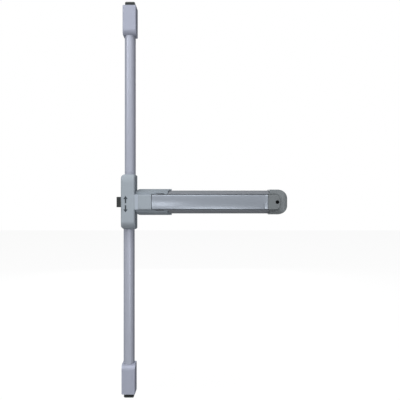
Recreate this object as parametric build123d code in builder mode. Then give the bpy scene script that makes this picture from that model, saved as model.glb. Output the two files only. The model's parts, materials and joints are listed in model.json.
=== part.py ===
"""Surface-mounted multipoint panic lock: a push bar that draws three bolts.

The back of every casing lies on the door face, the plane y = 0, and the lock stands out of it
towards -Y. X runs along the push bar, Z up along the rods, and the origin is the centre of the
head case on the door face. All sizes are millimetres. A height is a distance out from the door.
"""

import math
import os

from build123d import *

os.makedirs("parts", exist_ok=True)

# Fits
running_gap = 0.05  # round pin in its bore, on the radius
slot_gap = 0.25  # pin in a slot, on each side
slide_gap = 0.3  # flat faces that slide past each other
seat_gap = 0.2  # fixed pieces set into one another
layer_gap = 1.0  # between mechanism layers that cross
tooth_play = 0.3  # backlash between a rack and the pinion
hexagon_sides = 6
least_round = 0.4  # smallest round on a casting
inner_cut_share = 0.7  # flat cut inside a rounded corner, for each millimetre of its radius

# Motion
pad_travel = 12.0  # how far the push pad goes in
bolt_stroke = 14.0  # how far every bolt draws back

# Head case
case_width = 36.4
case_length = 142.0
case_depth = 52.0
case_wall = 2.5
case_edge_corner = 10.0  # outline corners on the door's edge side
case_bar_corner = 3.0  # outline corners on the push bar side
case_end_curve = 22.0  # front face rolls back towards both ends
case_front_round = 5.0
base_thickness = 3.0
base_end_space = 1.4  # base plate stops short of the case's end wall
base_screw_radius = 2.75
base_screw_inset = 6.7  # from the case's side to the hole
base_screw_reach = 54.0  # from the case's middle to the hole
cover_tab_reach = 44.0
cover_tab_width = 8.0
cover_tab_thickness = 2.0
cover_tab_height = 9.0
cover_screw_height = 8.0
cover_screw_radius = 2.0
cover_screw_head_radius = 3.5
cover_screw_head_depth = 1.5

# Fairing that carries the case's front over to the push pad
nose_end = 61.5
nose_depth = 64.0
nose_half_width = 19.0
nose_flare = 3.5
nose_flare_end = 40.0
nose_slope_start = 17.5
nose_slope_end = 28.5
nose_start = 8.0
nose_wall = 2.5
nose_foot_round = 6.0
nose_brow_round = 8.0
nose_edge_round = 2.5

# Pinion and racks
pinion_x = 1.0
tooth_module = 1.25
pinion_teeth = 12
pressure_angle = 25.0
rack_thickness = 8.5
rack_lift = 2.0  # from the base plate to the rod racks
axle_radius = 3.0
clip_radius = 5.4
clip_thickness = 0.8
clip_sides = 8
clip_mouth = 3.6
bar_width = 9.5
bar_end_spare = 0.6  # bar past its last tooth
rack_wall_gap = 0.8  # rod rack to the case's wall
rack_teeth_below = 2  # rod rack's teeth on the far side of the pinion's centre
bar_thickness = 4.3

# Side latch and its guide
latch_height = 27.0
latch_protrusion = 14.0
latch_tip_thickness = 6.0
latch_bevel_length = 12.0
latch_hook = 3.2
latch_inside = 15.5  # latch's length inside the case at rest
latch_tip_round = 1.0
latch_lug_width = 3.0
latch_lug_height = 11.0
guide_plate = 1.2
guide_cheek = 2.2
guide_wall_gap = 0.5  # guide to the case's walls
guide_front_gap = 6.6  # guide to the case's front
guide_foot_width = 8.0
latch_spring_radius = 4.0
latch_spring_wire = 1.0
spring_sides = 12
spring_pocket_depth = 19.5
spring_pocket_z = -3.0
lost_motion = 11.0  # the latch can be pushed in this far without moving the bar
window_half = 16.2  # opening in the case's wall towards the rail

# Rods and their covers
rod_radius = 5.0
rod_height = 13.0
upper_rod_x = 0.5
lower_rod_x = -2.5
rod_block_wall = 2.5
rod_block_length = 8.0
rod_thread_depth = 6.0
bush_length = 7.4
bush_wall = 2.5
bush_clear = 4.0
bush_end_inset = 0.6  # bush to the base plate's end
rod_cover_width = 27.0
rod_cover_depth = 25.5
rod_cover_wall = 1.6
rod_cover_shoulder = 11.0
rod_cover_entry = 1.0  # how far it reaches past the case's end wall
upper_cover_length = 364.7  # from the case to the upper latch box
lower_cover_length = 352.7  # from the case to the lower latch box

# Latch boxes at the rods' ends
box_width = 35.6
upper_box_x = 1.4
lower_box_x = -1.4
box_length = 77.0
box_depth = 34.0
box_wall = 2.0
box_end_curve = 16.0
box_corner = 2.0
box_front_round = 3.5
box_cover_entry = 8.0
box_plate = 2.5
box_plate_start = 10.0
box_screw_radius = 2.25
box_screw_side = 10.5
box_screw_place = 30.0
seat_tab_start = 12.0
seat_tab_thickness = 3.0
seat_tab_width = 20.0
seat_tab_over = 5.0  # tab above the rod
seat_tab_corner_cut = 5.0
bolt_width = 26.0
bolt_thickness = 18.0
bolt_protrusion = 14.0
bolt_back = 38.0
bolt_chamfer = 2.5
bolt_rod_depth = 14.0
lock_nut_radius = 8.5
lock_nut_length = 5.0
bolt_guide_start = 58.0
bolt_guide_front = 2.0  # space between the guide block and the box's front wall
box_cover_screw_radius = 1.6
box_cover_screw_head = 3.0
box_cover_screw_head_height = 1.6
box_cover_screw_length = 9.0

# Rail, its collar and the push pad
rail_start = 22.0
rail_length = 348.3
rail_half_base = 30.4
rail_half_front = 23.5
rail_shoulder = 9.0
rail_depth = 32.0
rail_wall = 2.2
rail_mouth_half = 20.5
collar_wall = 3.8
collar_gap_to_case = 0.3
collar_front_end = 101.0
collar_back_end = 110.0
collar_corner = 9.0
collar_notch_start = 71.0
collar_notch_length = 21.0
collar_notch_depth = 2.0
collar_tab_rise = 4.0  # slope at the foot of the collar's right end
pad_end_gap = 0.7
pad_half_width = 19.0
pad_depth = 62.0
pad_skirt = 32.0
pad_wall = 2.0
pad_crown = 1.2
pad_edge_round = 2.5
pad_plug_thickness = 3.0

# Rockers under the pad
left_rocker_inset = 88.0  # from the rail's start
right_rocker_inset = 70.3  # from the rail's end
hub_radius = 6.5
rocker_sides = 8  # flats round each rocker boss
hub_clear = 3.5  # hub to the pressed pad
pivot_radius = 3.0
pad_pin_radius = 2.5
link_pin_radius = 2.0
pin_eye_wall = 2.0
pad_arm_half = 5.0
ear_thickness = 1.6
ear_clear = 1.2  # bracket ear to the pull bar
rocker_bar_gap = 0.6  # rocker's side to the pull bar
bracket_plate = 2.0
bracket_half_length = 24.0
bracket_ear_half_length = 12.0
lug_ear_thickness = 3.0
lug_bridge = 2.5
lug_half_length = 6.6

# Pad stops and springs
stop_radius = 4.0
stop_from_rocker = 45.0
stop_clear = 0.3
pad_spring_radius = 6.0
pad_spring_wire = 1.2

# Joggled tongues that tie the rail to the head and to the far bracket
tongue_half_width = 15.5
tongue_reach = 40.0
tongue_step = 3.0
tongue_root = 10.0  # flat part of the tongue that joins the base plate
end_tongue_reach = 20.0

# Far end of the bar
cap_overlap = 4.6  # cap over the rail's end
cap_length = 47.8
cap_half_width = 32.4
cap_corner = 27.0
cap_shoulder = 38.0
cap_edge_round = 13.0
cap_wall = 2.5
plateau_lead = 6.3  # raised middle reaches past the cap's edge to the pad
plateau_length = 31.4
plateau_corner = 10.0
plateau_front = 61.0
plateau_fall = 11.0
plateau_edge_round = 1.5
rim_groove_width = 2.2
rim_groove_depth = 1.5
cap_screw_from_end = 29.5
cap_hole_radius = 5.0
cap_boss_wall = 2.0
cap_screw_seat = 30.0
cap_seat_thickness = 3.0
cap_screw_radius = 2.5
cap_screw_head_radius = 4.0
cap_screw_head_height = 3.0
cap_screw_grip = 22.0  # thread in the bracket's post
post_wall = 2.4
end_plate_margin = 7.0
end_plate_corner_cut = 10.0
end_screw_radius = 2.75
end_screw_half_spacing = 16.0
end_screw_from_end = 14.0

# Worked out from the sizes above
case_half_width = case_width / 2
case_half_length = case_length / 2
pitch_radius = tooth_module * pinion_teeth / 2
tooth_pitch = math.pi * tooth_module
addendum = tooth_module
dedendum = 1.25 * tooth_module
flank_lean = math.tan(math.radians(pressure_angle))
rack_low = base_thickness + rack_lift
rack_high = rack_low + rack_thickness
bar_low = rack_high + layer_gap
bar_high = bar_low + bar_width
bar_root = pitch_radius + dedendum
bar_edge = bar_root + bar_thickness
pinion_high = bar_high - layer_gap
latch_back = bar_high + layer_gap
guide_front = case_depth - case_wall - guide_front_gap
latch_front = guide_front - guide_plate - slide_gap
latch_tail = -(case_half_width - case_wall) + latch_inside
latch_tip = -case_half_width - latch_protrusion
rack_outer = case_half_width - case_wall - rack_wall_gap - pinion_x
base_half_length = case_half_length - case_wall - base_end_space
bush_start = base_half_length - bush_length - bush_end_inset
rod_block_top = bush_start - bush_clear
rod_cover_start = case_half_length - case_wall - rod_cover_entry
pad_start = nose_end + pad_end_gap
rail_end = rail_start + rail_length
left_rocker_x = rail_start + left_rocker_inset
right_rocker_x = rail_end - right_rocker_inset
cap_start = rail_end - cap_overlap
plateau_start = cap_start - plateau_lead
pad_end = plateau_start - pad_end_gap
pad_inner_front = pad_depth - pad_crown - pad_wall
pivot_height = pad_inner_front - pad_travel - hub_clear - hub_radius
link_pin_middle = (bar_low + bar_high) / 2
rocker_swing = 2 * math.atan(bolt_stroke / 4 / (pivot_height - link_pin_middle))
pad_arm = pad_travel / 2 / math.sin(rocker_swing)
link_arm = bolt_stroke / 2 / math.sin(rocker_swing)
pad_pin_drift = pad_arm * (1 - math.cos(rocker_swing))
link_pin_drift = link_arm * (1 - math.cos(rocker_swing))
pad_pin_height = pivot_height + pad_travel / 2
pad_pin_back = pad_arm - pad_pin_drift / 2
rocker_face = bar_root - rocker_bar_gap
ear_inner = bar_edge + ear_clear
collar_front = rail_depth + seat_gap + collar_wall
nose_back = collar_front + slide_gap
tongue_low = rail_wall + seat_gap
tongue_high = tongue_low + base_thickness
half_turn = Location((2 * pinion_x, 0, 0), (0, 180, 0))
spring_seat_x = case_half_width - case_wall - guide_wall_gap
lug_right = latch_tail - latch_hook - slide_gap
lug_left = lug_right - latch_lug_width
bolt_high = rod_height + bolt_thickness / 2
stop_top = pad_inner_front - pad_travel - stop_clear
cap_end = cap_start + cap_length
cap_screw_x = cap_end - cap_screw_from_end
bracket_half_width = ear_inner + ear_thickness


def finish(piece, name, place=Location()):
    """Labels a finished piece, puts it in its place and writes its file."""
    piece.part.label = name
    export_step(piece.part.moved(place), f"parts/{name}.step")


def rod_cover_outline(centre_x, grow=0.0):
    """Draws the outside of a rod cover's section, round at its front shoulders."""
    with Locations((centre_x, -(rod_cover_depth + grow) / 2)):
        Rectangle(rod_cover_width + 2 * grow, rod_cover_depth + grow)
    fillet(vertices().group_by(Axis.Y)[0], rod_cover_shoulder + grow)


def rail_outline():
    """Draws the outside of the rail's section, its flanks leaning in to the front."""
    Polygon(
        (0, -rail_half_base),
        (-rail_shoulder, -rail_half_base),
        (-rail_depth, -rail_half_front),
        (-rail_depth, rail_half_front),
        (-rail_shoulder, rail_half_base),
        (0, rail_half_base),
        align=None,
    )


def closed_spring(wire, radius, length):
    """The space a close-wound spring takes up along +Z from the origin."""
    with BuildPart() as spring:
        with BuildSketch(Plane.XY.offset(running_gap)):
            RegularPolygon(radius + wire / 2, spring_sides)
            RegularPolygon(radius - wire / 2, spring_sides, mode=Mode.SUBTRACT)
        extrude(amount=length - 2 * running_gap)
    return spring.part


def soften(points, radius, inside):
    """Rounds these corners of the open sketch, or cuts them flat where they are inside a casting."""
    if inside:
        chamfer(points, inner_cut_share * max(radius, least_round))
    else:
        fillet(points, max(radius, least_round))


def housing(size, corners, end_curves, front_round, inset=0.0):
    """A closed housing on the door: rounded outline, rounded front, ends that roll back."""
    width, length, depth = size[0] - 2 * inset, size[1] - 2 * inset, size[2] - inset
    with BuildPart() as form:
        with BuildSketch(Plane.XZ):
            Rectangle(width, length)
            soften(vertices().group_by(Axis.X)[0], corners[0] - inset, inset)
            soften(vertices().group_by(Axis.X)[-1], corners[1] - inset, inset)
        extrude(amount=depth)
        with BuildSketch(Plane.YZ.offset(-width)):
            with Locations((-depth / 2, 0)):
                Rectangle(depth, length)
            front = vertices().group_by(Axis.X)[0].sort_by(Axis.Y)
            soften(front[0], end_curves[0] - inset, inset)
            soften(front[1], end_curves[1] - inset, inset)
        extrude(amount=2 * width, mode=Mode.INTERSECT)
        with BuildSketch(Plane.XY.offset(-length)):
            with Locations((0, -depth / 2)):
                Rectangle(width, depth)
            soften(vertices().group_by(Axis.Y)[0], front_round - inset, inset)
        extrude(amount=2 * length, mode=Mode.INTERSECT)
    return form.part


# Base plate: pressed steel, with a joggled tongue that reaches into the rail
with BuildPart() as case_base_plate:
    with BuildSketch(Plane.XZ):
        Rectangle(2 * (case_half_width - case_wall - 2 * seat_gap), 2 * base_half_length)
        fillet(vertices().group_by(Axis.X)[0], case_edge_corner - case_wall)
    extrude(amount=base_thickness)
    with BuildSketch(Plane.XY):
        with BuildLine():
            Polyline(
                (case_half_width - tongue_root, 0),
                (case_half_width, 0),
                (case_half_width + tongue_step, -tongue_low),
                (rail_start + tongue_reach, -tongue_low),
                (rail_start + tongue_reach, -tongue_high),
                (case_half_width + tongue_step - seat_gap, -tongue_high),
                (case_half_width - 2 * seat_gap, -base_thickness),
                (case_half_width - tongue_root, -base_thickness),
                close=True,
            )
        make_face()
    extrude(amount=tongue_half_width, both=True)
    tab_face = case_half_width - case_wall - seat_gap
    with Locations((0, 0, cover_tab_reach), (0, 0, -cover_tab_reach)):
        with Locations((-tab_face + cover_tab_thickness / 2, -base_thickness - cover_tab_height / 2, 0)):
            Box(cover_tab_thickness, cover_tab_height, cover_tab_width)
    with BuildSketch(Plane.YZ.offset(-case_half_width)):
        with Locations((-cover_screw_height, cover_tab_reach), (-cover_screw_height, -cover_tab_reach)):
            Circle(cover_screw_radius + running_gap)
    extrude(amount=2 * case_wall + cover_tab_thickness, mode=Mode.SUBTRACT)
    with BuildSketch(Plane.XZ):
        with GridLocations(2 * (case_half_width - base_screw_inset), 2 * base_screw_reach, 2, 2):
            Circle(base_screw_radius)
        with Locations((pinion_x, 0)):
            Circle(axle_radius + running_gap)
    extrude(amount=2 * tongue_high, mode=Mode.SUBTRACT)
finish(case_base_plate, "case_base_plate")

# Case cover: one die casting, the case's shell and the fairing that rises to the push pad
case_shape = (
    (case_width, case_length, case_depth),
    (case_edge_corner, case_bar_corner),
    (case_end_curve, case_end_curve),
    case_front_round,
)

with BuildPart() as nose:
    with BuildSketch(Plane.XY):
        with BuildLine():
            Polyline(
                (nose_start, -nose_back),
                (nose_start, -case_depth),
                (nose_slope_start, -case_depth),
                (nose_slope_end, -nose_depth),
                (nose_end, -nose_depth),
                (nose_end, -nose_back),
                close=True,
            )
        make_face()
        foot = (nose_slope_start, -case_depth)
        brow = (nose_slope_end, -nose_depth)
        for corner, radius in ((foot, nose_foot_round), (brow, nose_brow_round)):
            fillet(vertices().sort_by_distance(corner)[0], radius)
    extrude(amount=nose_half_width, both=True)
    with BuildSketch(Plane.YZ):
        with Locations((-nose_depth / 2, 0)):
            Rectangle(nose_depth, 2 * nose_half_width)
        fillet(vertices().group_by(Axis.X)[0], nose_edge_round)
    extrude(amount=nose_end, mode=Mode.INTERSECT)
    with BuildSketch(Plane.XZ.offset(nose_back)):
        with BuildLine():
            flare_top = (case_half_width - case_wall, nose_half_width + nose_flare)
            flare_foot = (nose_flare_end, nose_half_width)
            corner = (case_half_width - case_wall, nose_half_width - nose_wall)
            TangentArc(flare_foot, flare_top, tangent=(-1, 0))
            Polyline(flare_top, corner, (nose_flare_end, corner[1]), flare_foot)
        make_face()
        mirror(about=Plane.XZ)
    extrude(amount=case_depth - case_front_round - nose_back)

with BuildPart() as case_cover:
    add(housing(*case_shape))
    add(nose.part)
    add(housing(*case_shape, inset=case_wall), mode=Mode.SUBTRACT)
    with BuildSketch(Plane.XY):
        with BuildLine():
            Polyline(
                (case_half_width + nose_wall, -nose_back),
                (case_half_width + nose_wall, -case_depth - seat_gap),
                (nose_slope_end + nose_wall, -nose_depth + nose_wall),
                (nose_end - nose_wall, -nose_depth + nose_wall),
                (nose_end - nose_wall, -nose_back),
                close=True,
            )
        make_face()
    extrude(amount=nose_half_width - nose_wall, both=True, mode=Mode.SUBTRACT)
    with BuildSketch(Plane.YZ.offset(case_half_width - 2 * case_wall)):
        with Locations((-guide_front / 2, 0)):
            Rectangle(guide_front, 2 * window_half)
    extrude(amount=2 * case_wall, mode=Mode.SUBTRACT)
    with BuildSketch(Plane.YZ.offset(-case_width)):
        with Locations((-(latch_back + latch_front) / 2, 0)):
            Rectangle(latch_front - latch_back + 2 * slide_gap, latch_height + 2 * slide_gap)
        with Locations((-cover_screw_height, cover_tab_reach), (-cover_screw_height, -cover_tab_reach)):
            Circle(cover_screw_radius + running_gap)
    extrude(amount=case_width - case_half_width + 2 * case_wall, mode=Mode.SUBTRACT)
    with BuildSketch(Plane.YZ.offset(-case_width)):
        with Locations((-cover_screw_height, cover_tab_reach), (-cover_screw_height, -cover_tab_reach)):
            Circle(cover_screw_head_radius + seat_gap)
    extrude(amount=case_width - case_half_width + cover_screw_head_depth, mode=Mode.SUBTRACT)
    with BuildSketch(Plane.XY.offset(rod_cover_start - rod_cover_entry)):
        rod_cover_outline(upper_rod_x, slide_gap)
    extrude(amount=case_length, mode=Mode.SUBTRACT)
    with BuildSketch(Plane.XY.offset(-rod_cover_start + rod_cover_entry)):
        rod_cover_outline(lower_rod_x, slide_gap)
    extrude(amount=-case_length, mode=Mode.SUBTRACT)
finish(case_cover, "case_cover")

# Screws that hold the case cover to the base plate's tabs
with BuildPart() as case_cover_screws:
    head_face = -case_half_width + cover_screw_head_depth
    for reach in (cover_tab_reach, -cover_tab_reach):
        with BuildSketch(Plane.YZ.offset(head_face)):
            with Locations((-cover_screw_height, reach)):
                RegularPolygon(cover_screw_head_radius, hexagon_sides)
        extrude(amount=-cover_screw_head_depth)
        with BuildSketch(Plane.YZ.offset(head_face)):
            with Locations((-cover_screw_height, reach)):
                Circle(cover_screw_radius)
        extrude(amount=-head_face - tab_face + cover_tab_thickness)
finish(case_cover_screws, "case_cover_screws")

# Pinion axle: a steel pin riveted into the base plate
with BuildPart() as pinion_axle:
    with BuildSketch(Plane.XZ):
        with Locations((pinion_x, 0)):
            Circle(axle_radius)
    extrude(amount=latch_back - slide_gap)
finish(pinion_axle, "pinion_axle")

# Push-on ring that keeps the pinion on its axle
with BuildPart() as pinion_clip:
    with BuildSketch(Plane.XZ.offset(pinion_high + slide_gap)):
        with Locations((pinion_x, 0)):
            RegularPolygon(clip_radius, clip_sides)
            Circle(axle_radius + running_gap, mode=Mode.SUBTRACT)
            with Locations((0, -clip_radius)):
                Rectangle(clip_mouth, clip_radius, mode=Mode.SUBTRACT)
    extrude(amount=clip_thickness)
finish(pinion_clip, "pinion_clip")

# Pinion: twelve teeth, the back half driving both rod racks and the front half driven by the bar
base_radius = pitch_radius * math.cos(math.radians(pressure_angle))
tip_radius = pitch_radius + addendum
root_radius = pitch_radius - dedendum


def flank_point(radius):
    """A point on the tooth's flank at this radius, with the tooth's middle on +Z."""
    at_pitch = (tooth_pitch - tooth_play) / 4 / pitch_radius
    rolled = math.acos(base_radius / max(radius, base_radius))
    lean = math.radians(pressure_angle)
    angle = at_pitch + (math.tan(lean) - lean) - (math.tan(rolled) - rolled)
    return (radius * math.sin(angle), radius * math.cos(angle))


with BuildPart() as pinion:
    with BuildSketch(Plane.XZ.offset(rack_low)):
        with Locations((pinion_x, 0)):
            Circle(root_radius)
        with BuildSketch(mode=Mode.PRIVATE) as tooth:
            with BuildLine():
                radii = (base_radius, (base_radius + tip_radius) / 2, tip_radius)
                flank = [flank_point(radius) for radius in radii]
                foot = flank_point(root_radius - least_round)
                other_flank = [(-x, z) for x, z in flank]
                other_foot = (-foot[0], foot[1])
                Line(foot, flank[0])
                Polyline(*flank)
                Line(flank[-1], other_flank[-1])
                Polyline(*reversed(other_flank))
                Line(other_flank[0], other_foot)
                Line(other_foot, foot)
            make_face()
        with Locations((pinion_x, 0)):
            with PolarLocations(0, pinion_teeth):
                add(tooth.sketch)
        with Locations((pinion_x, 0)):
            Circle(axle_radius + running_gap, mode=Mode.SUBTRACT)
    extrude(amount=pinion_high - rack_low)
finish(pinion, "pinion")

# Latch guide: a bent bracket on two feet, its front plate carrying the latch spring's seat
cheek_inner = latch_height / 2 + slide_gap
cheek_outer = cheek_inner + guide_cheek
guide_left = -spring_seat_x
foot_left = pinion_x - guide_foot_width / 2
latch_middle = (latch_back + latch_front) / 2

with BuildPart() as latch_guide:
    for side in (1, -1):
        with BuildSketch(Plane.XY.offset(side * cheek_inner)):
            with BuildLine():
                Polyline(
                    (guide_left, -latch_back + slide_gap),
                    (foot_left, -latch_back + slide_gap),
                    (foot_left, -base_thickness),
                    (foot_left + guide_foot_width, -base_thickness),
                    (foot_left + guide_foot_width, -guide_front),
                    (guide_left, -guide_front),
                    close=True,
                )
            make_face()
        extrude(amount=side * guide_cheek)
    with BuildSketch(Plane.XZ.offset(guide_front - guide_plate)):
        with Locations(((guide_left + spring_seat_x) / 2, 0)):
            Rectangle(spring_seat_x - guide_left, 2 * cheek_outer)
    extrude(amount=guide_plate)
    with BuildSketch(Plane.YZ.offset(spring_seat_x - guide_plate)):
        seat_foot = latch_middle - latch_spring_radius - latch_spring_wire
        with Locations((-(seat_foot + guide_front) / 2, spring_pocket_z)):
            Rectangle(guide_front - seat_foot, 2 * (latch_spring_radius + latch_spring_wire))
    extrude(amount=guide_plate)
finish(latch_guide, "latch_guide")

# Side latch: bevelled on the front so that it rides over the strike, hooked at its tail
with BuildPart() as latch_bolt:
    with BuildSketch(Plane.XY):
        with BuildLine():
            Polyline(
                (latch_tip, -latch_back),
                (latch_tail, -latch_back),
                (latch_tail, -latch_front),
                (latch_tip + latch_bevel_length, -latch_front),
                (latch_tip, -latch_back - latch_tip_thickness),
                close=True,
            )
        make_face()
        fillet(vertices().group_by(Axis.X)[0], latch_tip_round)
    extrude(amount=latch_height / 2, both=True)
    with BuildSketch(Plane.XZ.offset(latch_back)):
        notch_left = lug_left - lost_motion - slide_gap
        with Locations(((notch_left + lug_right + slide_gap) / 2, latch_height / 2)):
            Rectangle(lug_right + slide_gap - notch_left, latch_height - 2 * (bar_root - 2 * slide_gap))
    extrude(amount=latch_lug_height + slide_gap, mode=Mode.SUBTRACT)
    with BuildSketch(Plane.YZ.offset(latch_tail)):
        with Locations((-latch_middle, spring_pocket_z)):
            Circle(latch_spring_radius + latch_spring_wire)
    extrude(amount=-spring_pocket_depth, mode=Mode.SUBTRACT)
finish(latch_bolt, "latch_bolt")

# Latch spring, from the bottom of the latch's pocket to its seat on the guide
with BuildPart() as latch_spring:
    pocket_end = latch_tail - spring_pocket_depth
    spring_length = spring_seat_x - guide_plate - pocket_end
    spring = closed_spring(latch_spring_wire, latch_spring_radius, spring_length)
    add(spring.moved(Location((pocket_end, -latch_middle, spring_pocket_z), (0, 90, 0))))
finish(latch_spring, "latch_spring")

# Pull bar: a flat steel bar with a rack over the pinion, a lug for the latch and rocker slots
bar_left = pinion_x - bolt_stroke - tooth_pitch / 2 - bar_end_spare
bar_right = right_rocker_x + link_arm / 2
bar_teeth = math.floor((pinion_x - bar_left) / tooth_pitch)
tooth_height = addendum + dedendum
tooth_foot = tooth_pitch / 2 + 2 * dedendum * flank_lean - tooth_play / 2
tooth_lean = 90 - pressure_angle

with BuildPart() as pull_bar:
    with BuildSketch(Plane.XZ.offset(bar_low)):
        with Locations(((bar_left + bar_right) / 2, (bar_root + bar_edge) / 2)):
            Rectangle(bar_right - bar_left, bar_thickness)
        for place in range(-bar_teeth, 2):
            tooth_x = pinion_x + (place + 0.5) * tooth_pitch
            with Locations((tooth_x, bar_root - tooth_height / 2)):
                Trapezoid(tooth_foot, tooth_height, tooth_lean, rotation=180)
    extrude(amount=bar_width)
    with BuildSketch(Plane.XZ.offset(bar_high)):
        with Locations(((lug_left + lug_right) / 2, (bar_root + bar_edge) / 2)):
            Rectangle(latch_lug_width, bar_thickness - 2 * slide_gap)
    extrude(amount=latch_back - bar_high + latch_lug_height)
    with BuildSketch(Plane.XY.offset(bar_root)):
        for rocker_x in (left_rocker_x, right_rocker_x):
            pin_x = rocker_x - bolt_stroke / 2
            pin_height = pivot_height - link_arm + link_pin_drift / 2
            with Locations((pin_x, -pin_height)):
                slot = 2 * (link_pin_radius + slot_gap)
                Rectangle(slot, link_pin_drift + slot)
    extrude(amount=bar_thickness, mode=Mode.SUBTRACT)
finish(pull_bar, "pull_bar")

# Everything on the rods: the lower set is the upper one turned half round the pinion
rack_teeth = math.ceil(bolt_stroke / tooth_pitch) + 1
rack_foot = -(rack_teeth_below + 0.5) * tooth_pitch
rack_root_x = pinion_x + pitch_radius + dedendum
rack_edge_x = pinion_x + rack_outer
block_half = rod_radius + rod_block_wall
rod_start = rod_block_top - rod_thread_depth

for side, place, rod_x, box_x, cover_length in (
    ("upper", Location(), upper_rod_x, upper_box_x, upper_cover_length),
    ("lower", half_turn, 2 * pinion_x - lower_rod_x, 2 * pinion_x - lower_box_x, lower_cover_length),
):
    box_start = case_half_length + cover_length
    box_end = box_start + box_length
    bolt_start = box_start + bolt_back

    # Rack: a toothed steel strap with a block at its end that the rod screws into
    with BuildPart() as rod_rack:
        with BuildSketch(Plane.XZ.offset(rack_low)):
            with Locations(((rack_root_x + rack_edge_x) / 2, (rack_foot + rod_block_top) / 2)):
                Rectangle(rack_edge_x - rack_root_x, rod_block_top - rack_foot)
            for tooth_place in range(-rack_teeth_below, rack_teeth):
                tooth_z = (tooth_place + 0.5) * tooth_pitch
                with Locations((rack_root_x - tooth_height / 2, tooth_z)):
                    Trapezoid(tooth_foot, tooth_height, tooth_lean, rotation=90)
        extrude(amount=rack_thickness)
        with BuildSketch(Plane.XY.offset(rod_block_top - rod_block_length)):
            with Locations(((rod_x - block_half + rack_edge_x) / 2, -rod_height)):
                Rectangle(rack_edge_x - rod_x + block_half, 2 * block_half)
            fillet(vertices().group_by(Axis.X)[0], rod_block_wall)
        extrude(amount=rod_block_length)
        with BuildSketch(Plane.XY.offset(rod_start)):
            with Locations((rod_x, -rod_height)):
                Circle(rod_radius + running_gap)
        extrude(amount=rod_thread_depth, mode=Mode.SUBTRACT)
    finish(rod_rack, f"{side}_rack", place)

    # Rod: round steel bar, threaded at both ends
    with BuildPart() as rod:
        with BuildSketch(Plane.XY.offset(rod_start)):
            with Locations((rod_x, -rod_height)):
                Circle(rod_radius)
        extrude(amount=bolt_start + bolt_rod_depth - rod_start)
    finish(rod, f"{side}_rod", place)

    # Rod bush: moulded nylon saddle on the base plate
    with BuildPart() as rod_bush:
        with BuildSketch(Plane.XY.offset(bush_start)):
            bush_top = rod_height + rod_radius + bush_wall
            with Locations((rod_x, -(base_thickness + bush_top) / 2)):
                Rectangle(2 * (rod_radius + bush_wall), bush_top - base_thickness)
            chamfer(vertices().group_by(Axis.Y)[0], bush_wall)
            with Locations((rod_x, -rod_height)):
                Circle(rod_radius + running_gap, mode=Mode.SUBTRACT)
        extrude(amount=bush_length)
    finish(rod_bush, f"{side}_rod_bush", place)

    # Rod cover: thin drawn channel, open towards the door
    with BuildPart() as rod_cover:
        with BuildSketch(Plane.XY.offset(rod_cover_start)):
            rod_cover_outline(rod_x)
            with BuildSketch(mode=Mode.PRIVATE) as channel:
                rod_cover_outline(rod_x, -rod_cover_wall)
            add(channel.sketch, mode=Mode.SUBTRACT)
        extrude(amount=box_start + box_cover_entry - rod_cover_start)
    finish(rod_cover, f"{side}_rod_cover", place)

    # Latch base: pressed plate with a bent tab that the rod runs through and the spring rests on
    with BuildPart() as latch_base:
        plate_half = box_width / 2 - box_wall - seat_gap
        plate_length = box_length - box_wall - seat_gap - box_plate_start
        with BuildSketch(Plane.XZ):
            with Locations((box_x, box_start + box_plate_start + plate_length / 2)):
                Rectangle(2 * plate_half, plate_length)
            with Locations((box_x, box_start + box_screw_place)):
                with GridLocations(2 * box_screw_side, 1, 2, 1):
                    Circle(box_screw_radius, mode=Mode.SUBTRACT)
        extrude(amount=box_plate)
        with BuildSketch(Plane.XY.offset(box_start + seat_tab_start)):
            tab_top = rod_height + rod_radius + seat_tab_over
            with Locations((box_x, -(box_plate + tab_top) / 2)):
                Rectangle(seat_tab_width, tab_top - box_plate)
            chamfer(vertices().group_by(Axis.Y)[0], seat_tab_corner_cut)
            with Locations((rod_x, -rod_height)):
                Circle(rod_radius + running_gap, mode=Mode.SUBTRACT)
        extrude(amount=seat_tab_thickness)
    finish(latch_base, f"{side}_latch_base", place)

    # Bolt guide: a block that the bolt slides through, with the cover's screw holes in its end
    with BuildPart() as bolt_guide:
        guide_end = box_end - box_wall - seat_gap
        guide_high = box_depth - box_wall - bolt_guide_front
        with BuildSketch(Plane.XY.offset(box_start + bolt_guide_start)):
            with Locations((box_x, -(box_plate + guide_high) / 2)):
                Rectangle(2 * plate_half, guide_high - box_plate)
            fillet(vertices().group_by(Axis.Y)[0], box_corner)
            with Locations((box_x, -rod_height)):
                opening = (bolt_width + 2 * slide_gap, bolt_thickness + 2 * slide_gap)
                Rectangle(*opening, mode=Mode.SUBTRACT)
        extrude(amount=guide_end - box_start - bolt_guide_start)
        screw_height = (bolt_high + slide_gap + guide_high) / 2
        with BuildSketch(Plane.XY.offset(guide_end)):
            with Locations((box_x, -screw_height)):
                Circle(box_cover_screw_radius + running_gap)
        extrude(amount=-box_cover_screw_length, mode=Mode.SUBTRACT)
    finish(bolt_guide, f"{side}_bolt_guide", place)

    # Latch cover: die-cast box, rolled back where the rod's cover enters it
    with BuildPart() as latch_cover:
        shape = (
            (box_width, box_length, box_depth),
            (box_corner, box_corner),
            (box_end_curve, least_round),
            box_front_round,
        )
        middle = Location((box_x, 0, box_start + box_length / 2))
        add(housing(*shape).moved(middle))
        add(housing(*shape, inset=box_wall).moved(middle), mode=Mode.SUBTRACT)
        with BuildSketch(Plane.XY.offset(box_start - box_wall)):
            rod_cover_outline(rod_x, slide_gap)
        extrude(amount=box_end_curve, mode=Mode.SUBTRACT)
        with BuildSketch(Plane.XY.offset(box_end - 2 * box_wall)):
            with Locations((box_x, -rod_height)):
                Rectangle(bolt_width + 2 * slide_gap, bolt_thickness + 2 * slide_gap)
            with Locations((box_x, -screw_height)):
                Circle(box_cover_screw_radius + running_gap)
        extrude(amount=3 * box_wall, mode=Mode.SUBTRACT)
    finish(latch_cover, f"{side}_latch_cover", place)

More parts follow.
